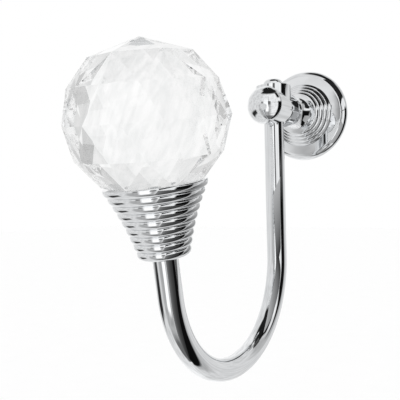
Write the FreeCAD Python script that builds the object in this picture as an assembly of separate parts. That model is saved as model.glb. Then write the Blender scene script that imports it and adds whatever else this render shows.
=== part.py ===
"""Curtain holdback: a chromed J-shaped hook on a turned wall rose, with a faceted glass ball in a reeded cup.

Frame: millimetres. The origin is the middle of the rose's back, on the wall. +Z is up, the wall lies in
y = 0 and the hook stands out of it along -Y. The stem, the bent rod, the cup and the ball share the plane
x = 0. Along the stem a place is given by its distance out from the wall, and along the leg that carries
the ball by its height above the end of the bend.
"""
import FreeCAD, Part
import math
import os

# Bent rod
rod_d = 8.0                # round bar of the hook
standoff = 31.0            # wall to the leg that hangs from the stem
leg_drop = 61.0            # stem axis to the start of the bend
bend_r = 36.0              # bend, at the rod's centre line
lean_deg = 10.2            # how far the ball's leg leans out from the wall
rod_top_out = 2.9          # rod end above the pad
rod_round = 2.2            # rounding of that end
cup_gap = 13.4             # end of the bend to the cup's foot

# Wall rose
rose_d = 40.0
rim_t = 2.8                # rose thickness at its rim
rim_round = 2.7            # quarter round of the rim's front edge
rim_w = 2.5                # width of the rim's seat on the wall
band_rise = 0.2            # rise of the plain band towards the reeds
reed_foot_d = 27.8         # outermost groove of the rose's reeds
reed_head_d = 17.0         # flat top inside the reeds
reed_rise = 6.0            # height of the reeded cone
rose_reeds = 4
rose_reed_depth = 0.32     # bulge of each reed
web_t = 3.0                # rose wall under its flat top
rim_web_t = 1.9            # rose wall behind the plain band

# Reeds of the rose and the cup
reed_flats = 3             # straight flats along the round of a reed

# Stem: tail, neck and barrel
tail_d = 10.0              # threaded tail through the rose
fixing_d = 5.0             # tapping hole of the wall screw
fixing_depth = 14.0
neck_foot_d = 13.6         # collar on the rose
collar_t = 0.9
neck_d = 9.2               # waist of the neck
neck_l = 11.8              # collar to the barrel's back
barrel_d = 14.8
barrel_round = 1.0         # rounding of the barrel's back edge
pad_d = 14.2               # upright boss on the barrel, round the rod's end
pad_rise = 1.1             # its flat top above the barrel
pad_inset = 0.4            # barrel's front edge ahead of the pad

# Front cap of the barrel
cap_d = 15.1
cap_rise = 5.0             # height of the dome
cap_crown_r = 8.5          # round of the dome's middle
cap_edge_r = 3.9           # tighter round of its edge
cap_groove_w = 0.4         # shadow gap between cap and barrel
cap_groove_depth = 0.7
cap_spigot_d = 6.0

# Nut and washer behind the rose
nut_flats = 15.0
nut_t = 3.6
washer_d = 17.0
washer_t = 1.0

# Cup
cup_foot_d = 14.6
cup_rim_d = 31.2
cup_h = 22.0
cup_hollow = 0.8           # how far the flank curves in between foot and rim
cup_reeds = 9
cup_reed_depth = 0.65
cup_socket_depth = 4.0     # rod's end inside the cup's foot

# Glass ball
ball_d = 50.0              # over the corners of the girdle
crown_facets = 7           # facets round each pole, twice as many round the girdle
row_d = 44.0               # corners between girdle and crown
row_h = 10.2               # their height from the girdle
crown_d = 30.4             # corners of the crown
crown_h = 18.5
pole_h = 23.5              # girdle to the crown's peak
facet_turn_deg = 10.5      # turn of the facets on the cup
facet_tilt_deg = 3.0       # facets askew on the drilled hole
ball_flat_h = 18.7         # girdle to the ground flat under the ball

# Stud between rod, cup and ball
stud_d = 4.0
stud_in_rod = 9.0
stud_in_ball = 3.5

# Clearances
slip_gap = 0.05            # radial gap of a seated round piece
tip_gap = 0.3              # gap at the end of a blind hole
thread_gap = 0.05          # radial gap left in place of a fine thread
washer_gap = 0.3           # radial room round the washer in the rose

# Places worked out from the sizes
rod_r = rod_d / 2
rose_r = rose_d / 2
barrel_r = barrel_d / 2
pad_r = pad_d / 2
pad_top = barrel_r + pad_rise
lean = math.radians(lean_deg)
rose_front = rim_t + band_rise + reed_rise
web_out = rose_front - web_t
collar_front = rose_front + collar_t
barrel_back = collar_front + neck_l
barrel_front = standoff + pad_r + pad_inset
cap_back = barrel_front + cap_groove_w
bend_mid = FreeCAD.Vector(0, -standoff - bend_r, -leg_drop)
bend_end = bend_mid + FreeCAD.Vector(0, -bend_r * math.cos(lean), -bend_r * math.sin(lean))
cup_rim = cup_gap + cup_h
ball_mid = cup_rim + ball_flat_h
rod_end = cup_gap + cup_socket_depth

ORIGIN = FreeCAD.Vector(0, 0, 0)
STEM_AXIS = FreeCAD.Vector(0, 1, 0)
UP = FreeCAD.Vector(0, 0, 1)
ACROSS = FreeCAD.Vector(1, 0, 0)
LEG_FRAME = FreeCAD.Placement(bend_end, FreeCAD.Rotation(ACROSS, lean_deg))


def on_stem(radius, out):
    """Point beside the stem axis, at a distance out from the wall."""
    return FreeCAD.Vector(radius, -out, 0)


def on_leg(radius, height):
    """Point beside the axis of the ball's leg, before the leg leans."""
    return FreeCAD.Vector(radius, 0, height)


def turned(section, place, axis):
    """Solid turned from a section of (radius, along) steps: one point for a line, two for an arc."""
    edges = []
    here = place(*section[-1][-1])
    for step in section:
        points = [here] + [place(*point) for point in step]
        curve = Part.LineSegment(*points) if len(step) == 1 else Part.Arc(*points)
        edges.append(curve.toShape())
        here = points[-1]
    return Part.Face(Part.Wire(edges)).revolve(ORIGIN, axis, 360)


def bulge(first, last, depth):
    """Arc step between two section points, standing out from their chord by depth."""
    run = last[0] - first[0]
    rise = last[1] - first[1]
    out = depth / math.hypot(run, rise)
    middle = ((first[0] + last[0]) / 2 + rise * out, (first[1] + last[1]) / 2 - run * out)
    return [middle, last]


def flats(first, last, depth, count):
    """Line steps along the arc that stands out from a chord by depth."""
    middle = bulge(first, last, depth)[0]
    arc = Part.Arc(*(FreeCAD.Vector(*point, 0) for point in (first, middle, last)))
    return [[(point.x, point.y)] for point in arc.discretize(count + 1)[1:]]


def rounded(corner, radius):
    """Arc step that rounds a corner, from the level below it to the line inside it."""
    inset = radius * (1 - math.sqrt(0.5))
    return [(corner[0] - inset, corner[1] - inset), (corner[0] - radius, corner[1])]


def on_round(middle, radius, turn):
    """Section point on a round, turned outwards from the axis by an angle."""
    return (middle[0] + radius * math.sin(turn), middle[1] + radius * math.cos(turn))


def rod_along_leg(diameter, low, high):
    """Round bar on the axis of the ball's leg, before the leg leans."""
    return Part.makeCylinder(diameter / 2, high - low, on_leg(0, low), UP)


def rod_along_stem(diameter, low, high):
    """Round bar on the stem axis between two distances out from the wall."""
    return Part.makeCylinder(diameter / 2, high - low, on_stem(0, high), STEM_AXIS)


def rose():
    """Turned flange: rounded rim, plain band, reeded cone and a hollow back."""
    foot_r = reed_foot_d / 2
    head_r = reed_head_d / 2
    bore_r = tail_d / 2 + slip_gap
    band_out = rim_t + band_rise
    grooves = [(foot_r + (head_r - foot_r) * reed / rose_reeds, band_out + reed_rise * reed / rose_reeds)
               for reed in range(rose_reeds + 1)]
    section = [
        [(rose_r, 0)],
        [(rose_r, rim_t - rim_round)],
        rounded((rose_r, rim_t), rim_round),
        [grooves[0]],
    ]
    for low, high in zip(grooves, grooves[1:]):
        section += flats(low, high, rose_reed_depth, reed_flats)
    section += [
        [(bore_r, rose_front)],
        [(bore_r, web_out)],
        [(washer_d / 2 + washer_gap, web_out)],
        [(foot_r - rim_web_t, rim_t - rim_web_t)],
        [(rose_r - rim_w, rim_t - rim_web_t)],
        [(rose_r - rim_w, 0)],
    ]
    return turned(section, on_stem, STEM_AXIS)


def stem():
    """Tail, coved neck and barrel in one turning, with the upright pad and the bores for rod, cap and screw."""
    back_r = barrel_r - barrel_round
    shoulder = barrel_back + barrel_round
    round_mid = barrel_round * math.sqrt(0.5)
    body = turned([
        [(0, 0)],
        [(tail_d / 2, 0)],
        [(tail_d / 2, rose_front)],
        [(neck_foot_d / 2, rose_front)],
        [(neck_foot_d / 2, collar_front)],
        [(neck_d / 2, (collar_front + barrel_back) / 2), (back_r, barrel_back)],
        [(back_r + round_mid, shoulder - round_mid), (barrel_r, shoulder)],
        [(barrel_r, barrel_front)],
        [(0, barrel_front)],
    ], on_stem, STEM_AXIS)
    rod_foot = on_stem(0, standoff)
    pad = Part.makeCylinder(pad_r, pad_top, rod_foot, UP)
    rod_bore = Part.makeCylinder(rod_r + slip_gap, pad_top + barrel_d, rod_foot - UP * barrel_d, UP)
    cap_bore = rod_along_stem(cap_spigot_d + 2 * slip_gap, standoff, barrel_front)
    fixing_hole = rod_along_stem(fixing_d, 0, fixing_depth)
    return body.fuse(pad).removeSplitter().cut(rod_bore).cut(cap_bore).cut(fixing_hole)


def front_cap():
    """Domed plug that closes the barrel and bears on the rod, set off by a shadow gap."""
    cap_r = cap_d / 2
    neck_r = barrel_r - cap_groove_depth
    spigot_r = cap_spigot_d / 2
    spigot_tip = standoff + rod_r + slip_gap
    cap_front = cap_back + cap_rise
    crown_mid = (0, cap_front - cap_crown_r)
    corner_out = cap_back - crown_mid[1]
    reach = math.hypot(cap_r, corner_out)
    apart = cap_crown_r - cap_edge_r
    inward = math.acos((apart ** 2 + reach ** 2 - cap_edge_r ** 2) / (2 * apart * reach))
    meet = math.atan2(cap_r, corner_out) - inward
    edge_mid = on_round(crown_mid, apart, meet)
    foot = math.atan2(cap_r - edge_mid[0], cap_back - edge_mid[1])
    return turned([
        [(0, spigot_tip)],
        [(spigot_r, spigot_tip)],
        [(spigot_r, barrel_front)],
        [(neck_r, barrel_front)],
        [(neck_r, cap_back)],
        [(cap_r, cap_back)],
        [on_round(edge_mid, cap_edge_r, (meet + foot) / 2), on_round(crown_mid, cap_crown_r, meet)],
        [on_round(crown_mid, cap_crown_r, meet / 2), (0, cap_front)],
    ], on_stem, STEM_AXIS)


def rose_washer():
    """Plain washer behind the rose."""
    hole_d = tail_d + 2 * slip_gap
    disc = rod_along_stem(washer_d, web_out - washer_t, web_out)
    return disc.cut(rod_along_stem(hole_d, web_out - washer_t, web_out))


def rose_nut():
    """Thin hexagon nut that clamps the rose to the stem's tail."""
    front = web_out - washer_t
    corner_r = nut_flats / math.sqrt(3)
    corners = [FreeCAD.Vector(corner_r * math.cos(math.radians(60 * turn)), -front,
                              corner_r * math.sin(math.radians(60 * turn)))
               for turn in range(7)]
    prism = Part.Face(Part.makePolygon(corners)).extrude(STEM_AXIS * nut_t)
    return prism.cut(rod_along_stem(tail_d + 2 * thread_gap, front - nut_t, front))


def hook_rod():
    """Bar bent to a J: rounded end in the pad, hanging leg, bend, and the leg that carries the ball."""
    top = on_stem(0, standoff) + UP * (pad_top + rod_top_out)
    bend_start = on_stem(0, standoff) - UP * leg_drop
    half_turn = (math.pi - lean) / 2
    bend_low = bend_mid + FreeCAD.Vector(0, bend_r * math.cos(half_turn), -bend_r * math.sin(half_turn))
    tip = LEG_FRAME.multVec(on_leg(0, rod_end))
    path = Part.Wire([
        Part.LineSegment(top, bend_start).toShape(),
        Part.Arc(bend_start, bend_low, bend_end).toShape(),
        Part.LineSegment(bend_end, tip).toShape(),
    ])
    section = Part.Wire(Part.makeCircle(rod_r, top, UP))
    bar = path.makePipeShell([section], True, False)
    top_edges = [edge for edge in bar.Edges if edge.BoundBox.ZMin > top.z - rod_round]
    bar = bar.makeFillet(rod_round, top_edges)
    stud_hole = rod_along_leg(stud_d + 2 * thread_gap, rod_end - stud_in_rod - tip_gap, rod_end)
    stud_hole.Placement = LEG_FRAME.multiply(stud_hole.Placement)
    return bar.cut(stud_hole)


def cup():
    """Reeded cup: a flared flank of half-round reeds, a socket for the rod and a flat seat for the ball."""
    foot = (cup_foot_d / 2, cup_gap)
    rim = (cup_rim_d / 2, cup_rim)
    grooves = [foot] + [step[0] for step in flats(foot, rim, -cup_hollow, cup_reeds)]
    socket_r = rod_r + slip_gap
    stud_r = stud_d / 2 + slip_gap
    section = [[(socket_r, cup_gap)], [foot]]
    for low, high in zip(grooves, grooves[1:]):
        section += flats(low, high, cup_reed_depth, reed_flats)
    section += [
        [(stud_r, cup_rim)],
        [(stud_r, rod_end)],
        [(socket_r, rod_end)],
    ]
    body = turned(section, on_leg, UP)
    body.Placement = LEG_FRAME
    return body


def ring_of_corners(diameter, height, count, half_turns):
    """Corners of one row of facets, spaced evenly about the ball's axis."""
    pitch = 360.0 / count
    first = facet_turn_deg - 90 + pitch * half_turns / 2
    corners = []
    for index in range(count):
        turn = math.radians(first + pitch * index)
        corners.append(FreeCAD.Vector(diameter / 2 * math.cos(turn), diameter / 2 * math.sin(turn), height))
    return corners


def crystal_ball():
    """Cut glass ball: rows of three-cornered facets between two low crowns, ground flat and drilled below."""
    girdle_facets = 2 * crown_facets
    top_crown = ring_of_corners(crown_d, crown_h, crown_facets, 0)
    upper = ring_of_corners(row_d, row_h, girdle_facets, 0)
    girdle = ring_of_corners(ball_d, 0, girdle_facets, 1)
    lower = ring_of_corners(row_d, -row_h, girdle_facets, 0)
    low_crown = ring_of_corners(crown_d, -crown_h, crown_facets, 0)
    facets = []
    for index in range(crown_facets):
        after = (index + 1) % crown_facets
        for crown, row, apex in ((top_crown, upper, UP * pole_h), (low_crown, lower, UP * -pole_h)):
            first, between, last = (row[(2 * index + step) % girdle_facets] for step in range(3))
            facets.append([apex, crown[index], crown[after]])
            facets.append([crown[index], between, crown[after]])
            facets.append([crown[index], first, between])
            facets.append([crown[after], between, last])
    for index in range(girdle_facets):
        after = (index + 1) % girdle_facets
        for row in (upper, lower):
            facets.append([row[index], girdle[index], row[after]])
            facets.append([girdle[index], girdle[after], row[after]])
    faces = [Part.Face(Part.makePolygon(corners + corners[:1])) for corners in facets]
    shell = Part.makeShell(faces)
    shell.sewShape()
    stone = Part.makeSolid(shell)
    stone.rotate(ORIGIN, STEM_AXIS, facet_tilt_deg)
    ground_off = rod_along_leg(2 * ball_d, -ball_flat_h - ball_d, -ball_flat_h)
    drilled = rod_along_leg(stud_d + 2 * slip_gap, -ball_flat_h, stud_in_ball + tip_gap - ball_flat_h)
    stone = stone.cut(ground_off).cut(drilled)
    stone.translate(UP * ball_mid)
    stone.Placement = LEG_FRAME.multiply(stone.Placement)
    return stone


def ball_stud():
    """Threaded stud, tight in the rod, through the cup and cemented in the ball."""
    stud = rod_along_leg(stud_d, rod_end - stud_in_rod, cup_rim + stud_in_ball)
    stud.Placement = LEG_FRAME.multiply(stud.Placement)
    return stud


def main():
    os.makedirs("parts", exist_ok=True)
    for piece in (rose, stem, front_cap, rose_washer, rose_nut, hook_rod, cup, crystal_ball, ball_stud):
        piece().exportStep("parts/" + piece.__name__ + ".step")


main()
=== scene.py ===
"""Curtain holdback: a chromed J hook on a reeded wall rose, with a cut glass ball in a reeded cup.

Metres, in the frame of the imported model: the wall lies in y = 0, the hook stands out of it along -Y and
+Z is up. Sizes are written in millimetres and scaled once. Along the stem a place is given by its
distance out from the wall, and along the leg that carries the ball by its height above the bend's end.
"""

import math

import bmesh
import bpy
from mathutils import Matrix, Vector


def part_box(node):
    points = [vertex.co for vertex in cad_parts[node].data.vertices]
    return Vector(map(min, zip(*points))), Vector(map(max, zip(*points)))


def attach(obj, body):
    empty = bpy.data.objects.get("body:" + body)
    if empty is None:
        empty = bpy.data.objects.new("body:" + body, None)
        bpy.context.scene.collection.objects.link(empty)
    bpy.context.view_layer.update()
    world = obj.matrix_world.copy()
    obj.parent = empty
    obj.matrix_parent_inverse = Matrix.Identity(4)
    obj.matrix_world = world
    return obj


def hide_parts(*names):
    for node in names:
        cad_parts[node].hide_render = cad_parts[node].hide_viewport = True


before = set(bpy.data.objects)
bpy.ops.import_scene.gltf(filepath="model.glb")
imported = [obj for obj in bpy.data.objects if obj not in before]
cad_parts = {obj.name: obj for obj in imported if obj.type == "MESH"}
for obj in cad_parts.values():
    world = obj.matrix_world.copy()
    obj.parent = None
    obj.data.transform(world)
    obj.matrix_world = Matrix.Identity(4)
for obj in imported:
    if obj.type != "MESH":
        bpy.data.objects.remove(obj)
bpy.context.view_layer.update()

MM = 0.001

# Bent rod
ROD_R = 4.0 * MM
STANDOFF = 31.0 * MM             # wall to the hanging leg
LEG_DROP = 61.0 * MM             # stem axis to the start of the bend
BEND_R = 36.0 * MM
LEAN = math.radians(10.2)        # lean of the ball's leg, out from the wall
ROD_ROUND = 2.2 * MM             # rounding of the rod's upper end
CUP_GAP = 13.4 * MM              # end of the bend to the cup's foot
CUP_SOCKET = 4.0 * MM            # rod inside the cup's foot

# Wall rose
RIM_T = 2.8 * MM
RIM_ROUND = 2.7 * MM
RIM_W = 2.5 * MM
BAND_RISE = 0.2 * MM
ROSE_FOOT_R = 13.9 * MM          # outermost groove of the reeds
ROSE_HEAD_R = 8.5 * MM           # flat top inside the reeds
ROSE_REEDS = 4
ROSE_BULGE = 0.32 * MM
ROSE_BORE_R = 5.05 * MM
WASHER_SEAT_R = 8.8 * MM
WEB_T = 3.0 * MM
RIM_WEB_T = 1.9 * MM

# Cup
CUP_FOOT_R = 7.3 * MM
CUP_RIM_R = 15.6 * MM
CUP_H = 22.0 * MM
CUP_HOLLOW = 0.8 * MM            # how far the flank curves in
CUP_REEDS = 9
CUP_BULGE = 0.65 * MM
SOCKET_R = 4.05 * MM
STUD_BORE_R = 2.05 * MM
SEAT_GAP = 0.05 * MM             # air left under the glass

# Glass ball
CROWN_FACETS = 7
GIRDLE_R = 25.0 * MM
ROW_R = 22.0 * MM
ROW_H = 10.2 * MM
CROWN_R = 15.2 * MM
CROWN_H = 18.5 * MM
POLE_H = 23.5 * MM
FACET_TURN = math.radians(10.5)
FACET_TILT = math.radians(3.0)
BALL_FLAT_H = 18.7 * MM
DRILL_DEPTH = 3.8 * MM

# Places worked out from the sizes and the frame
rose_low, rose_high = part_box("rose")
ROSE_R = rose_high.x
ROSE_FRONT = -rose_low.y
ROD_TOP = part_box("hook_rod")[1].z
CUP_RIM = CUP_GAP + CUP_H
BEND_MID = Vector((0, -STANDOFF - BEND_R, -LEG_DROP))
BEND_END = BEND_MID + Vector((0, -BEND_R * math.cos(LEAN), -BEND_R * math.sin(LEAN)))
LEG_WAY = Vector((0, -math.sin(LEAN), math.cos(LEAN)))
STEM_TURN = (math.pi / 2, 0, 0)  # turns +Z, the axis of a lathe, out from the wall
LEG_TURN = (LEAN, 0, 0)

# Fineness of the curved meshes
SIDES = 160                      # flats round a turned piece
ROD_SIDES = 64
DRILL_SIDES = 48
REED_STEPS = 12                  # flats over one reed
REED_FULLNESS = 0.75             # power of a sine over one reed; below 1 fills the reed out
BEND_STEPS = 96
ROUND_STEPS = 8
CREASE = math.radians(32)        # edges sharper than this stay crisp
WELD = 0.001 * MM                # corners closer than this are merged


def linear(hex_colour):
    """Linear RGBA of an sRGB hex colour."""
    shares = [int(hex_colour[place:place + 2], 16) / 255 for place in (1, 3, 5)]
    return (*(s / 12.92 if s <= 0.04045 else ((s + 0.055) / 1.055) ** 2.4 for s in shares), 1.0)


def add(tree, kind, inputs=None, **settings):
    """Adds a node with its settings, and links or sets its inputs."""
    made = tree.nodes.new(kind)
    for name, value in settings.items():
        setattr(made, name, value)
    for socket, value in (inputs or {}).items():
        for source in value if isinstance(value, list) else [value]:
            source = source.outputs[0] if isinstance(source, bpy.types.Node) else source
            if isinstance(source, bpy.types.NodeSocket):
                tree.links.new(source, made.inputs[socket])
            else:
                made.inputs[socket].default_value = source
    return made


# Materials

def new_material(name):
    """Empty node material, and its tree."""
    material = bpy.data.materials.new(name)
    material.use_nodes = True
    material.node_tree.nodes.clear()
    return material, material.node_tree


def chrome_plate():
    """Bright chromium plate, buffed: a mirror with a faint haze and slow waves from the buffing wheel."""
    haze_size = 5 * MM
    wave_size = 3 * MM
    wave_height = 0.008 * MM
    material, tree = new_material("polished_chrome_plate")
    place = add(tree, "ShaderNodeTexCoord").outputs["Object"]
    haze = add(tree, "ShaderNodeTexNoise", {"Vector": place, "Scale": 1 / haze_size, "Detail": 4.0})
    waves = add(tree, "ShaderNodeTexNoise", {"Vector": place, "Scale": 1 / wave_size, "Detail": 1.0})
    tone = add(tree, "ShaderNodeValToRGB", {"Fac": haze})
    tone.color_ramp.elements[0].color = linear("#DDDFE1")
    tone.color_ramp.elements[1].color = linear("#EBECED")
    rough = add(tree, "ShaderNodeMapRange", {"Value": haze, "To Min": 0.015, "To Max": 0.05})
    bump = add(tree, "ShaderNodeBump", {"Height": waves, "Strength": 1.0, "Distance": wave_height})
    shader = add(tree, "ShaderNodeBsdfPrincipled", {
        "Base Color": tone, "Metallic": 1.0, "Roughness": rough, "Normal": bump})
    add(tree, "ShaderNodeOutputMaterial", {"Surface": shader})
    return material


def cut_glass():
    """Clear pressed and polished glass: colourless, with faint striae that streak what it shows."""
    striae_width = 2.2 * MM
    striae_length = 6            # times their width
    striae_lean = math.radians(20)   # from upright
    striae_side = math.radians(34)   # the way they lean, from +X
    striae_height = 0.002 * MM
    striae_noise = (0.38, 0.6)   # part of the noise from the greyest to the clearest streak
    material, tree = new_material("cut_clear_glass")
    place = add(tree, "ShaderNodeTexCoord").outputs["Object"]
    drawn = add(tree, "ShaderNodeMapping", {
        "Vector": place, "Rotation": (0, striae_lean, striae_side), "Scale": (1, 1, striae_length)},
        vector_type="TEXTURE")
    striae = add(tree, "ShaderNodeTexNoise", {"Vector": drawn, "Scale": 1 / striae_width, "Detail": 2.0})
    tone = add(tree, "ShaderNodeValToRGB", {"Fac": striae})
    tone.color_ramp.elements[0].position = striae_noise[0]
    tone.color_ramp.elements[0].color = linear("#F1F2F2")
    tone.color_ramp.elements[1].position = striae_noise[1]
    tone.color_ramp.elements[1].color = linear("#FFFFFF")
    bump = add(tree, "ShaderNodeBump", {"Height": striae, "Strength": 1.0, "Distance": striae_height})
    shader = add(tree, "ShaderNodeBsdfPrincipled", {
        "Base Color": tone, "Roughness": 0.0, "IOR": 1.52, "Transmission Weight": 1.0, "Normal": bump})
    add(tree, "ShaderNodeOutputMaterial", {"Surface": shader})
    return material


def bright_steel():
    """Zinc plated steel of the hidden fasteners: pale grey, half dull, with the mottle of the plating."""
    mottle_size = 1.5 * MM
    mottle_height = 0.004 * MM
    material, tree = new_material("zinc_plated_steel")
    place = add(tree, "ShaderNodeTexCoord").outputs["Object"]
    mottle = add(tree, "ShaderNodeTexNoise", {"Vector": place, "Scale": 1 / mottle_size, "Detail": 5.0})
    tone = add(tree, "ShaderNodeValToRGB", {"Fac": mottle})
    tone.color_ramp.elements[0].color = linear("#BFC3C6")
    tone.color_ramp.elements[1].color = linear("#D8DBDC")
    rough = add(tree, "ShaderNodeMapRange", {"Value": mottle, "To Min": 0.25, "To Max": 0.42})
    bump = add(tree, "ShaderNodeBump", {"Height": mottle, "Strength": 0.6, "Distance": mottle_height})
    shader = add(tree, "ShaderNodeBsdfPrincipled", {
        "Base Color": tone, "Metallic": 1.0, "Roughness": rough, "Normal": bump})
    add(tree, "ShaderNodeOutputMaterial", {"Surface": shader})
    return material


# Trees of Geometry Nodes

def new_tree(name, inputs):
    """Empty tree of Geometry Nodes with named inputs, and its input and output nodes."""
    tree = bpy.data.node_groups.new(name, "GeometryNodeTree")
    for label, kind in inputs.items():
        tree.interface.new_socket(label, in_out="INPUT", socket_type="NodeSocket" + kind)
    tree.interface.new_socket("Geometry", in_out="OUTPUT", socket_type="NodeSocketGeometry")
    return tree, add(tree, "NodeGroupInput").outputs, add(tree, "NodeGroupOutput")


def reeded_turning():
    """Lathe: half-round reeds along a flank, closed by the plain points of the section, turned about +Z."""
    tree, given, result = new_tree("reeded_turning", {
        "Section": "Geometry", "Flank start": "Vector", "Flank middle": "Vector", "Flank end": "Vector",
        "Reeds": "Int", "Reed bulge": "Float", "Reed steps": "Int", "Sides": "Int", "Crease": "Float",
        "Place": "Vector", "Turn": "Vector", "Finish": "Material"})
    steps = add(tree, "ShaderNodeMath", {0: given["Reeds"], 1: given["Reed steps"]}, operation="MULTIPLY")
    flank = add(tree, "GeometryNodeCurveQuadraticBezier", {
        "Resolution": steps, "Start": given["Flank start"], "Middle": given["Flank middle"],
        "End": given["Flank end"]})
    index = add(tree, "GeometryNodeInputIndex")
    reed = add(tree, "ShaderNodeMath", {0: index, 1: given["Reed steps"]}, operation="DIVIDE")
    half_turns = add(tree, "ShaderNodeMath", {0: reed, 1: math.pi}, operation="MULTIPLY")
    wave = add(tree, "ShaderNodeMath", {0: half_turns}, operation="SINE")
    height = add(tree, "ShaderNodeMath", {0: wave}, operation="ABSOLUTE")
    full = add(tree, "ShaderNodeMath", {0: height, 1: REED_FULLNESS}, operation="POWER")
    swell = add(tree, "ShaderNodeMath", {0: full, 1: given["Reed bulge"]}, operation="MULTIPLY")
    tangent = add(tree, "GeometryNodeInputTangent")
    outward = add(tree, "ShaderNodeVectorMath", {0: (0, 1, 0), 1: tangent}, operation="CROSS_PRODUCT")
    offset = add(tree, "ShaderNodeVectorMath", {0: outward, "Scale": swell}, operation="SCALE")
    reeds = add(tree, "GeometryNodeSetPosition", {"Geometry": flank, "Offset": offset})
    ribbed = add(tree, "GeometryNodeCurveToMesh", {"Curve": reeds})
    section = add(tree, "GeometryNodeJoinGeometry", {"Geometry": [ribbed, given["Section"]]})
    count = add(tree, "GeometryNodeAttributeDomainSize", {"Geometry": section}, component="MESH")
    rows = add(tree, "ShaderNodeMath", {0: count.outputs["Point Count"], 1: 1.0}, operation="ADD")
    columns = add(tree, "ShaderNodeMath", {0: given["Sides"], 1: 1.0}, operation="ADD")
    sheet = add(tree, "GeometryNodeMeshGrid", {"Vertices X": columns, "Vertices Y": rows})
    share = add(tree, "ShaderNodeMath", {0: index, 1: rows}, operation="DIVIDE")
    column = add(tree, "ShaderNodeMath", {0: share}, operation="FLOOR")
    row = add(tree, "ShaderNodeMath", {0: index, 1: rows}, operation="MODULO")
    looped = add(tree, "ShaderNodeMath", {0: row, 1: count.outputs["Point Count"]}, operation="MODULO")
    position = add(tree, "GeometryNodeInputPosition")
    point = add(tree, "GeometryNodeSampleIndex", {
        "Geometry": section, "Value": position, "Index": looped}, data_type="FLOAT_VECTOR")
    side = add(tree, "ShaderNodeMath", {0: column, 1: given["Sides"]}, operation="DIVIDE")
    angle = add(tree, "ShaderNodeMath", {0: side, 1: math.tau}, operation="MULTIPLY")
    swung = add(tree, "ShaderNodeVectorRotate", {"Vector": point, "Angle": angle}, rotation_type="Z_AXIS")
    turned = add(tree, "GeometryNodeSetPosition", {"Geometry": sheet, "Position": swung})
    closed = add(tree, "GeometryNodeMergeByDistance", {"Geometry": turned, "Distance": WELD})
    edge = add(tree, "GeometryNodeInputMeshEdgeAngle")
    sharp = add(tree, "ShaderNodeMath", {0: edge, 1: given["Crease"]}, operation="GREATER_THAN")
    smooth = add(tree, "GeometryNodeSetShadeSmooth", {"Geometry": closed, "Shade Smooth": True})
    crisp = add(tree, "GeometryNodeSetShadeSmooth", {
        "Geometry": smooth, "Selection": sharp, "Shade Smooth": False}, domain="EDGE")
    placed = add(tree, "GeometryNodeTransform", {
        "Geometry": crisp, "Translation": given["Place"], "Rotation": given["Turn"]})
    real = add(tree, "GeometryNodeRealizeInstances", {"Geometry": placed})
    finished = add(tree, "GeometryNodeSetMaterial", {"Geometry": real, "Material": given["Finish"]})
    tree.links.new(finished.outputs[0], result.inputs[0])
    return tree


def round_bar():
    """Round bar swept along a path, whose own radius at each point scales the bar."""
    tree, given, result = new_tree("round_bar", {
        "Path": "Geometry", "Bar radius": "Float", "Sides": "Int", "Crease": "Float", "Finish": "Material"})
    ring = add(tree, "GeometryNodeCurvePrimitiveCircle", {
        "Resolution": given["Sides"], "Radius": given["Bar radius"]})
    share = add(tree, "GeometryNodeInputRadius")
    swept = add(tree, "GeometryNodeCurveToMesh", {
        "Curve": given["Path"], "Profile Curve": ring, "Scale": share, "Fill Caps": True})
    closed = add(tree, "GeometryNodeMergeByDistance", {"Geometry": swept, "Distance": WELD})
    edge = add(tree, "GeometryNodeInputMeshEdgeAngle")
    sharp = add(tree, "ShaderNodeMath", {0: edge, 1: given["Crease"]}, operation="GREATER_THAN")
    smooth = add(tree, "GeometryNodeSetShadeSmooth", {"Geometry": closed, "Shade Smooth": True})
    crisp = add(tree, "GeometryNodeSetShadeSmooth", {
        "Geometry": smooth, "Selection": sharp, "Shade Smooth": False}, domain="EDGE")
    real = add(tree, "GeometryNodeRealizeInstances", {"Geometry": crisp})
    finished = add(tree, "GeometryNodeSetMaterial", {"Geometry": real, "Material": given["Finish"]})
    tree.links.new(finished.outputs[0], result.inputs[0])
    return tree


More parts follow.
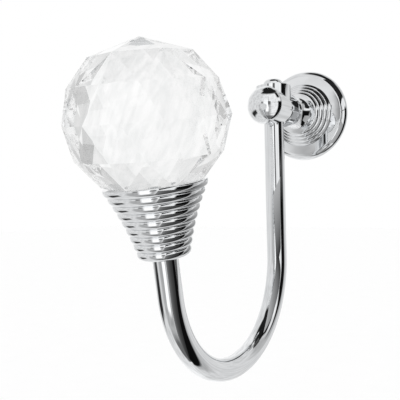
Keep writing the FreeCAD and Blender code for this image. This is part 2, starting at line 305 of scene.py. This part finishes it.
def cut_stone():
    """Faceted ball: rows of corners about an axis, hulled, tilted, ground flat below and drilled."""
    tree, given, result = new_tree("cut_stone", {
        "Crown facets": "Int", "Girdle radius": "Float", "Row radius": "Float", "Row height": "Float",
        "Crown radius": "Float", "Crown height": "Float", "Pole height": "Float", "Facet turn": "Float",
        "Facet tilt": "Float", "Flat height": "Float", "Drill radius": "Float", "Drill depth": "Float",
        "Place": "Vector", "Turn": "Vector", "Finish": "Material"})
    girdle = add(tree, "ShaderNodeMath", {0: given["Crown facets"], 1: 2.0}, operation="MULTIPLY")
    half_pitch = add(tree, "ShaderNodeMath", {0: math.pi, 1: girdle}, operation="DIVIDE")
    between = add(tree, "ShaderNodeMath", {0: given["Facet turn"], 1: half_pitch}, operation="ADD")
    rows = []
    for facets, radius, height, level, turn in (
            (given["Crown facets"], "Crown radius", "Crown height", 1.0, given["Facet turn"]),
            (girdle, "Row radius", "Row height", 1.0, given["Facet turn"]),
            (girdle, "Girdle radius", "Row height", 0.0, between),
            (girdle, "Row radius", "Row height", -1.0, given["Facet turn"]),
            (given["Crown facets"], "Crown radius", "Crown height", -1.0, given["Facet turn"])):
        corners = add(tree, "GeometryNodeMeshCircle", {"Vertices": facets, "Radius": given[radius]})
        rise = add(tree, "ShaderNodeMath", {0: given[height], 1: level}, operation="MULTIPLY")
        above = add(tree, "ShaderNodeCombineXYZ", {"Z": rise})
        start = add(tree, "ShaderNodeMath", {0: turn, 1: math.pi / 2}, operation="SUBTRACT")
        swing = add(tree, "ShaderNodeCombineXYZ", {"Z": start})
        rows.append(add(tree, "GeometryNodeTransform", {
            "Geometry": corners, "Translation": above, "Rotation": swing}))
    pole = add(tree, "ShaderNodeCombineXYZ", {"Z": given["Pole height"]})
    across = add(tree, "ShaderNodeVectorMath", {0: pole, "Scale": -2.0}, operation="SCALE")
    rows.append(add(tree, "GeometryNodeMeshLine", {"Count": 2, "Start Location": pole, "Offset": across}))
    corners = add(tree, "GeometryNodeJoinGeometry", {"Geometry": rows})
    hull = add(tree, "GeometryNodeConvexHull", {"Geometry": corners})
    askew = add(tree, "ShaderNodeCombineXYZ", {"Y": given["Facet tilt"]})
    tilted = add(tree, "GeometryNodeTransform", {"Geometry": hull, "Rotation": askew})
    block_size = 4 * GIRDLE_R
    under = add(tree, "ShaderNodeMath", {0: given["Flat height"], 1: block_size / 2}, operation="ADD")
    below = add(tree, "ShaderNodeMath", {0: under, 1: -1.0}, operation="MULTIPLY")
    grind_place = add(tree, "ShaderNodeCombineXYZ", {"Z": below})
    grind = add(tree, "GeometryNodeMeshCube", {"Size": (block_size,) * 3})
    grind = add(tree, "GeometryNodeTransform", {"Geometry": grind, "Translation": grind_place})
    drill_h = add(tree, "ShaderNodeMath", {0: given["Drill depth"], 1: 2.0}, operation="MULTIPLY")
    drill = add(tree, "GeometryNodeMeshCylinder", {
        "Vertices": DRILL_SIDES, "Radius": given["Drill radius"], "Depth": drill_h})
    drill_low = add(tree, "ShaderNodeMath", {0: given["Flat height"], 1: -1.0}, operation="MULTIPLY")
    drill_place = add(tree, "ShaderNodeCombineXYZ", {"Z": drill_low})
    drill = add(tree, "GeometryNodeTransform", {"Geometry": drill, "Translation": drill_place})
    flat = add(tree, "GeometryNodeMeshBoolean", {"Mesh 1": tilted, "Mesh 2": [grind, drill]},
               operation="DIFFERENCE")
    placed = add(tree, "GeometryNodeTransform", {
        "Geometry": flat, "Translation": given["Place"], "Rotation": given["Turn"]})
    facets = add(tree, "GeometryNodeSetShadeSmooth", {"Geometry": placed, "Shade Smooth": False})
    real = add(tree, "GeometryNodeRealizeInstances", {"Geometry": facets})
    finished = add(tree, "GeometryNodeSetMaterial", {"Geometry": real, "Material": given["Finish"]})
    tree.links.new(finished.outputs[0], result.inputs[0])
    return tree


# Pieces

def show(piece, node):
    """Puts a finished piece in place of the CAD node that it stands for."""
    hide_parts(node)
    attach(piece, "root")


def closed_outwards(mesh):
    """Merges doubled corners of a closed mesh and turns its faces outwards."""
    work = bmesh.new()
    work.from_mesh(mesh)
    bmesh.ops.remove_doubles(work, verts=work.verts, dist=WELD)
    bmesh.ops.recalc_face_normals(work, faces=work.faces)
    work.to_mesh(mesh)
    work.free()


def grown(name, source, tree, sizes):
    """Object whose mesh a tree of Geometry Nodes makes from a source mesh or curve and named sizes."""
    host = bpy.data.objects.new(name + "_source", source)
    bpy.context.collection.objects.link(host)
    modifier = host.modifiers.new(tree.name, "NODES")
    modifier.node_group = tree
    for item in tree.interface.items_tree:
        if item.in_out == "INPUT" and item.name in sizes:
            modifier[item.identifier] = sizes[item.name]
    evaluated = host.evaluated_get(bpy.context.evaluated_depsgraph_get())
    mesh = bpy.data.meshes.new_from_object(evaluated)
    host.modifiers.remove(modifier)
    bpy.data.objects.remove(host)
    mesh.name = name
    closed_outwards(mesh)
    piece = bpy.data.objects.new(name, mesh)
    bpy.context.collection.objects.link(piece)
    return piece


def section_points(points):
    """Mesh that holds the plain points of a lathe's section, in order."""
    mesh = bpy.data.meshes.new("section")
    mesh.from_pydata([(radius, 0, along) for radius, along in points], [], [])
    return mesh


def rounding(corner, radius, steps):
    """Points round an outer corner, from the level below it to the line inside it."""
    middle = (corner[0] - radius, corner[1] - radius)
    turns = [math.pi / 2 * step / steps for step in range(steps + 1)]
    return [(middle[0] + radius * math.cos(turn), middle[1] + radius * math.sin(turn)) for turn in turns]


def flank(low, high, hollow):
    """Start, middle and end of a flank between two section points, which curves in by hollow."""
    run = high[0] - low[0]
    rise = high[1] - low[1]
    pull = 2 * hollow / math.hypot(run, rise)
    middle = ((low[0] + high[0]) / 2 - rise * pull, (low[1] + high[1]) / 2 + run * pull)
    points = {"Flank start": low, "Flank middle": middle, "Flank end": high}
    return {label: (radius, 0, along) for label, (radius, along) in points.items()}


def rose(lathe, finish):
    """Wall rose: rounded rim, plain band, reeded cone and a hollow back."""
    foot = (ROSE_FOOT_R, RIM_T + BAND_RISE)
    head = (ROSE_HEAD_R, ROSE_FRONT)
    web = ROSE_FRONT - WEB_T
    back = RIM_T - RIM_WEB_T
    plain = [
        (ROSE_BORE_R, ROSE_FRONT), (ROSE_BORE_R, web), (WASHER_SEAT_R, web), (ROSE_FOOT_R - RIM_WEB_T, back),
        (ROSE_R - RIM_W, back), (ROSE_R - RIM_W, 0), (ROSE_R, 0)]
    plain += rounding((ROSE_R, RIM_T), RIM_ROUND, ROUND_STEPS)
    return grown("wall_rose", section_points(plain), lathe, flank(foot, head, 0) | {
        "Reeds": ROSE_REEDS, "Reed bulge": ROSE_BULGE, "Reed steps": REED_STEPS, "Sides": SIDES,
        "Crease": CREASE, "Place": (0, 0, 0), "Turn": STEM_TURN, "Finish": finish})


def cup(lathe, finish):
    """Cup under the ball: half-round reeds on a flared flank, a socket for the rod and a flat seat."""
    foot = (CUP_FOOT_R, CUP_GAP)
    rim = (CUP_RIM_R, CUP_RIM - SEAT_GAP)
    socket_end = CUP_GAP + CUP_SOCKET
    plain = [(STUD_BORE_R, rim[1]), (STUD_BORE_R, socket_end), (SOCKET_R, socket_end), (SOCKET_R, CUP_GAP)]
    return grown("ball_cup", section_points(plain), lathe, flank(foot, rim, CUP_HOLLOW) | {
        "Reeds": CUP_REEDS, "Reed bulge": CUP_BULGE, "Reed steps": REED_STEPS, "Sides": SIDES,
        "Crease": CREASE, "Place": BEND_END, "Turn": LEG_TURN, "Finish": finish})


def rod(bar, finish):
    """J rod: rounded upper end, hanging leg, bend, and the leg that carries the cup."""
    places = []
    for step in range(ROUND_STEPS + 1):
        turn = math.pi / 2 * step / ROUND_STEPS
        inset = ROD_ROUND * (1 - math.sin(turn))
        drop = ROD_ROUND * (1 - math.cos(turn))
        places.append((Vector((0, -STANDOFF, ROD_TOP - drop)), 1 - inset / ROD_R))
    for step in range(BEND_STEPS + 1):
        turn = (math.pi - LEAN) * step / BEND_STEPS
        places.append((BEND_MID + BEND_R * Vector((0, math.cos(turn), -math.sin(turn))), 1.0))
    places.append((BEND_END + LEG_WAY * (CUP_GAP + CUP_SOCKET), 1.0))
    path = bpy.data.curves.new("rod_path", "CURVE")
    path.dimensions = "3D"
    line = path.splines.new("POLY")
    line.points.add(len(places) - 1)
    for point, (place, radius) in zip(line.points, places):
        point.co = (*place, 1.0)
        point.radius = radius
    return grown("bent_rod", path, bar, {
        "Bar radius": ROD_R, "Sides": ROD_SIDES, "Crease": CREASE, "Finish": finish})


def ball(stone, finish):
    """Cut glass ball on the cup."""
    middle = BEND_END + LEG_WAY * (CUP_RIM + BALL_FLAT_H)
    return grown("cut_glass_ball", bpy.data.meshes.new("stone_source"), stone, {
        "Crown facets": CROWN_FACETS, "Girdle radius": GIRDLE_R, "Row radius": ROW_R, "Row height": ROW_H,
        "Crown radius": CROWN_R, "Crown height": CROWN_H, "Pole height": POLE_H, "Facet turn": FACET_TURN,
        "Facet tilt": FACET_TILT, "Flat height": BALL_FLAT_H, "Drill radius": STUD_BORE_R,
        "Drill depth": DRILL_DEPTH, "Place": middle, "Turn": LEG_TURN, "Finish": finish})


def smooth_copy(node, name, finish):
    """Copy of a CAD node with its corners merged, shaded smooth up to the crease angle."""
    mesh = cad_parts[node].data.copy()
    mesh.name = name
    if "custom_normal" in mesh.attributes:
        mesh.attributes.remove(mesh.attributes["custom_normal"])
    closed_outwards(mesh)
    mesh.shade_smooth()
    mesh.set_sharp_from_angle(angle=CREASE)
    mesh.materials.clear()
    mesh.materials.append(finish)
    piece = bpy.data.objects.new(name, mesh)
    bpy.context.collection.objects.link(piece)
    return piece


def dress():
    """Makes every piece of the holdback with its finish."""
    chrome = chrome_plate()
    steel = bright_steel()
    lathe = reeded_turning()
    show(rose(lathe, chrome), "rose")
    show(cup(lathe, chrome), "cup")
    show(rod(round_bar(), chrome), "hook_rod")
    show(ball(cut_stone(), cut_glass()), "crystal_ball")
    show(smooth_copy("stem", "barrel_and_neck", chrome), "stem")
    show(smooth_copy("front_cap", "domed_cap", chrome), "front_cap")
    for node in ("rose_washer", "rose_nut", "ball_stud"):
        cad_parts[node].data.materials.clear()
        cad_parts[node].data.materials.append(steel)


# Studio

VIEW_AZIMUTH = 34.547            # degrees; the camera stands at (sin, -cos) of it
VIEW_RISE = 0.395                # the camera looks up by this much
VIEW_ROLL = -1.21
VIEW_PLACE = Vector((104.418, -237.231, -38.897)) * MM
VIEW_LENS = 50.35                # mm
VIEW_FRAME = 36.0                # width of the frame behind that lens, mm
VIEW_NEAR = 10 * MM              # nearest thing that the camera shows
FLOOR_Z = -350 * MM
FLOOR_HALF = 6.0                 # half its side
GLASS_BOUNCES = 80               # fewer leave black specks in the ball's edge facets


def photo_camera():
    """Camera at the photograph's viewing angle."""
    lens = bpy.data.cameras.new("photo_camera")
    lens.lens = VIEW_LENS
    lens.sensor_width = VIEW_FRAME
    lens.clip_start = VIEW_NEAR
    camera = bpy.data.objects.new("photo_camera", lens)
    bpy.context.collection.objects.link(camera)
    camera.matrix_world = (
        Matrix.Translation(VIEW_PLACE)
        @ Matrix.Rotation(math.radians(VIEW_AZIMUTH), 4, "Z")
        @ Matrix.Rotation(math.radians(90 + VIEW_RISE), 4, "X")
        @ Matrix.Rotation(math.radians(VIEW_ROLL), 4, "Z"))
    bpy.context.scene.camera = camera


# Fields of the room, later rows over earlier ones: where each lies, in degrees to the camera's right and
# above the horizon, its half sizes, how soft its edges are, and its level from 0, black, to 1, white
ALL_ROUND = 400                  # half width of a field that closes round the room
IN_CHROME = {
    "left_wall": ((-95, 0), (55, 88), 12, 0.83),
    "right_wall": ((125, 0), (40, 88), 10, 0.78),
    "right_edge": ((92, -5), (12, 72), 8, 0.52),
    "front_grey": ((-28, -32), (34, 34), 8, 0.5),
    "front_floor": ((0, -80), (65, 20), 8, 0.17),
    "left_stand": ((-105, -24), (21, 9), 5, 0.03),
    "ceiling": ((20, 82), (95, 25), 6, 0.015),
    "zenith": ((0, 90), (180, 20), 4, 0.015),
    "high_right": ((62, 46), (16, 13), 4, 0.01),
    "flag": ((68, -32), (22, 48), 4, 0.005),
    "soft_box": ((-19, -8), (13, 30), 5, 1.3),
    "left_frame": ((-41, 7), (6, 9), 2, 0.3),
    "right_frame": ((-3, 7), (7, 9), 2, 0.2),
}
IN_GLASS = {
    "below": ((0, -75), (ALL_ROUND, 40), 20, 0.86),
    "overhead": ((0, 80), (ALL_ROUND, 35), 20, 0.66),
    "right_side": ((112, 0), (36, 60), 14, 0.48),
    "front": ((0, 0), (60, 40), 20, 0.85),
}
BACKDROP = 1.0                   # level of the rest of the room in the chrome
GLASS_ROOM = 1.0                 # and seen through the glass
FOLDS = 7.0                      # soft folds in the cloth of the room, about so many to a radian
FOLD_NOISE = (0.35, 0.6)         # part of the noise that the folds span
FOLD_LEVELS = (0.88, 1.12)       # how they dim and lift what the chrome mirrors


def room_tone(tree, lon, lat, fields, level):
    """Level of the room in a direction: its fields laid over one another."""
    for place, half_size, soft, shade in fields.values():
        cover = []
        for angle, middle, half in zip((lon, lat), place, half_size):
            away = add(tree, "ShaderNodeMath", {0: angle, 1: math.radians(middle)}, operation="SUBTRACT")
            apart = add(tree, "ShaderNodeMath", {0: away}, operation="ABSOLUTE")
            cover.append(add(tree, "ShaderNodeMapRange", {
                "Value": apart, "From Min": math.radians(half - soft), "From Max": math.radians(half + soft),
                "To Min": 1.0, "To Max": 0.0}, interpolation_type="SMOOTHSTEP"))
        share = add(tree, "ShaderNodeMath", {0: cover[0], 1: cover[1]}, operation="MULTIPLY")
        level = add(tree, "ShaderNodeMix", {"Factor": share, 2: level, 3: shade}, data_type="FLOAT")
    return level


def white_room():
    """White all round for the eye, with light and dark fields in the chrome and pale ones in the glass."""
    world = bpy.data.worlds.new("white_room")
    bpy.context.scene.world = world
    world.use_nodes = True
    tree = world.node_tree
    tree.nodes.clear()
    way = add(tree, "ShaderNodeTexCoord").outputs["Generated"]
    facing = add(tree, "ShaderNodeVectorRotate", {"Vector": way, "Angle": math.radians(-VIEW_AZIMUTH)},
                 rotation_type="Z_AXIS")
    axes = add(tree, "ShaderNodeSeparateXYZ", {"Vector": facing})
    near = add(tree, "ShaderNodeMath", {0: axes.outputs["Y"], 1: -1.0}, operation="MULTIPLY")
    lon = add(tree, "ShaderNodeMath", {0: axes.outputs["X"], 1: near}, operation="ARCTAN2")
    lat = add(tree, "ShaderNodeMath", {0: axes.outputs["Z"]}, operation="ARCSINE")
    folds = add(tree, "ShaderNodeTexNoise", {"Vector": way, "Scale": FOLDS, "Detail": 2.0})
    cloth = add(tree, "ShaderNodeMapRange", {
        "Value": folds, "From Min": FOLD_NOISE[0], "From Max": FOLD_NOISE[1],
        "To Min": FOLD_LEVELS[0], "To Max": FOLD_LEVELS[1]})
    smooth_chrome = room_tone(tree, lon, lat, IN_CHROME, BACKDROP)
    in_chrome = add(tree, "ShaderNodeMath", {0: smooth_chrome, 1: cloth}, operation="MULTIPLY")
    in_glass = room_tone(tree, lon, lat, IN_GLASS, GLASS_ROOM)
    path = add(tree, "ShaderNodeLightPath").outputs
    mirrored = add(tree, "ShaderNodeMath", {0: path["Is Glossy Ray"], 1: path["Is Reflection Ray"]},
                   operation="MULTIPLY")
    behind = add(tree, "ShaderNodeMix", {"Factor": path["Is Transmission Ray"], 2: 1.0, 3: in_glass},
                 data_type="FLOAT")
    strength = add(tree, "ShaderNodeMix", {"Factor": mirrored, 2: behind, 3: in_chrome}, data_type="FLOAT")
    room = add(tree, "ShaderNodeBackground", {"Color": linear("#FFFFFF"), "Strength": strength})
    add(tree, "ShaderNodeOutputWorld", {"Surface": room})


# Grey cards that only reflections show, turned edge-on to the dome: middle, half run and half rise, in mm,
# and the level at each end of the run
GREY_CARDS = {
    "near_leg_card": ((66.8, -159.5, -173), (33.2, -57.5, 0), (0, 0, 127), 0.04, 0.3),
    "cup_card": ((66.8, -159.5, 25), (33.2, -57.5, 0), (0, 0, 45), 0.02, 0.05),
    "bend_card": ((117.1, -62.6, 21), (77.3, -24.3, 14.3), (13.5, 42.9, 0), 0.01, 0.02),
    "far_leg_card": ((36.3, -63.5, -48.1), (11.4, -9.5, -18.8), (25.8, 20.7, 5.1), 0.55, 0.01),
    "rose_card": ((28.9, -10.7, 28.1), (-9.7, 1.2, 10), (11.9, 12.6, 10), 0.02, 0.02),
    "low_rose_card": ((37.4, -19, -23.5), (10.4, 5.3, -7.7), (0, -9.9, -6.8), 0.12, 0.03),
    "neck_card": ((24.8, -10.5, -15.9), (5.6, 7.5, -3.6), (5.4, 0, 8.4), 0.55, 0.4),
}


def grey_card(name, middle, half_run, half_rise, first_level, last_level):
    """Card whose grey runs from one end to the other."""
    middle, half_run, half_rise = (Vector(size) * MM for size in (middle, half_run, half_rise))
    mesh = bpy.data.meshes.new(name)
    mesh.from_pydata([middle + run * half_run + rise * half_rise
                      for run, rise in ((-1, -1), (1, -1), (1, 1), (-1, 1))], [], [(0, 1, 2, 3)])
    material, tree = new_material(name)
    place = add(tree, "ShaderNodeTexCoord").outputs["Object"]
    inset = add(tree, "ShaderNodeVectorMath", {0: place, 1: middle}, operation="SUBTRACT")
    along = add(tree, "ShaderNodeVectorMath", {0: inset, 1: half_run.normalized()}, operation="DOT_PRODUCT")
    level = add(tree, "ShaderNodeMapRange", {
        "Value": along.outputs["Value"], "From Min": -half_run.length, "From Max": half_run.length,
        "To Min": first_level, "To Max": last_level})
    shader = add(tree, "ShaderNodeEmission", {"Color": linear("#FFFFFF"), "Strength": level})
    add(tree, "ShaderNodeOutputMaterial", {"Surface": shader})
    mesh.materials.append(material)
    card = bpy.data.objects.new(name, mesh)
    bpy.context.collection.objects.link(card)
    card.visible_camera = False
    card.visible_diffuse = False
    card.visible_transmission = False
    card.visible_shadow = False


def pale_floor():
    """White floor well below the hook, which keeps its soft shadow."""
    grain_size = 40 * MM
    corners = [(x * FLOOR_HALF, y * FLOOR_HALF, FLOOR_Z) for x, y in ((-1, -1), (1, -1), (1, 1), (-1, 1))]
    mesh = bpy.data.meshes.new("floor")
    mesh.from_pydata(corners, [], [(0, 1, 2, 3)])
    material, tree = new_material("white_painted_board")
    place = add(tree, "ShaderNodeTexCoord").outputs["Object"]
    grain = add(tree, "ShaderNodeTexNoise", {"Vector": place, "Scale": 1 / grain_size})
    tone = add(tree, "ShaderNodeValToRGB", {"Fac": grain})
    tone.color_ramp.elements[0].color = linear("#FDFDFD")
    tone.color_ramp.elements[1].color = linear("#FFFFFF")
    shader = add(tree, "ShaderNodeBsdfDiffuse", {"Color": tone})
    add(tree, "ShaderNodeOutputMaterial", {"Surface": shader})
    mesh.materials.append(material)
    floor = bpy.data.objects.new("floor", mesh)
    bpy.context.collection.objects.link(floor)
    floor.visible_glossy = False
    floor.visible_transmission = False


def studio():
    """Room, floor and camera, with bounces enough for the light in the cut glass."""
    white_room()
    for name, card in GREY_CARDS.items():
        grey_card(name, *card)
    pale_floor()
    photo_camera()
    light = bpy.context.scene.cycles
    light.max_bounces = GLASS_BOUNCES
    light.glossy_bounces = GLASS_BOUNCES
    light.transmission_bounces = GLASS_BOUNCES


dress()
studio()
bpy.context.scene.view_settings.view_transform = "Standard"
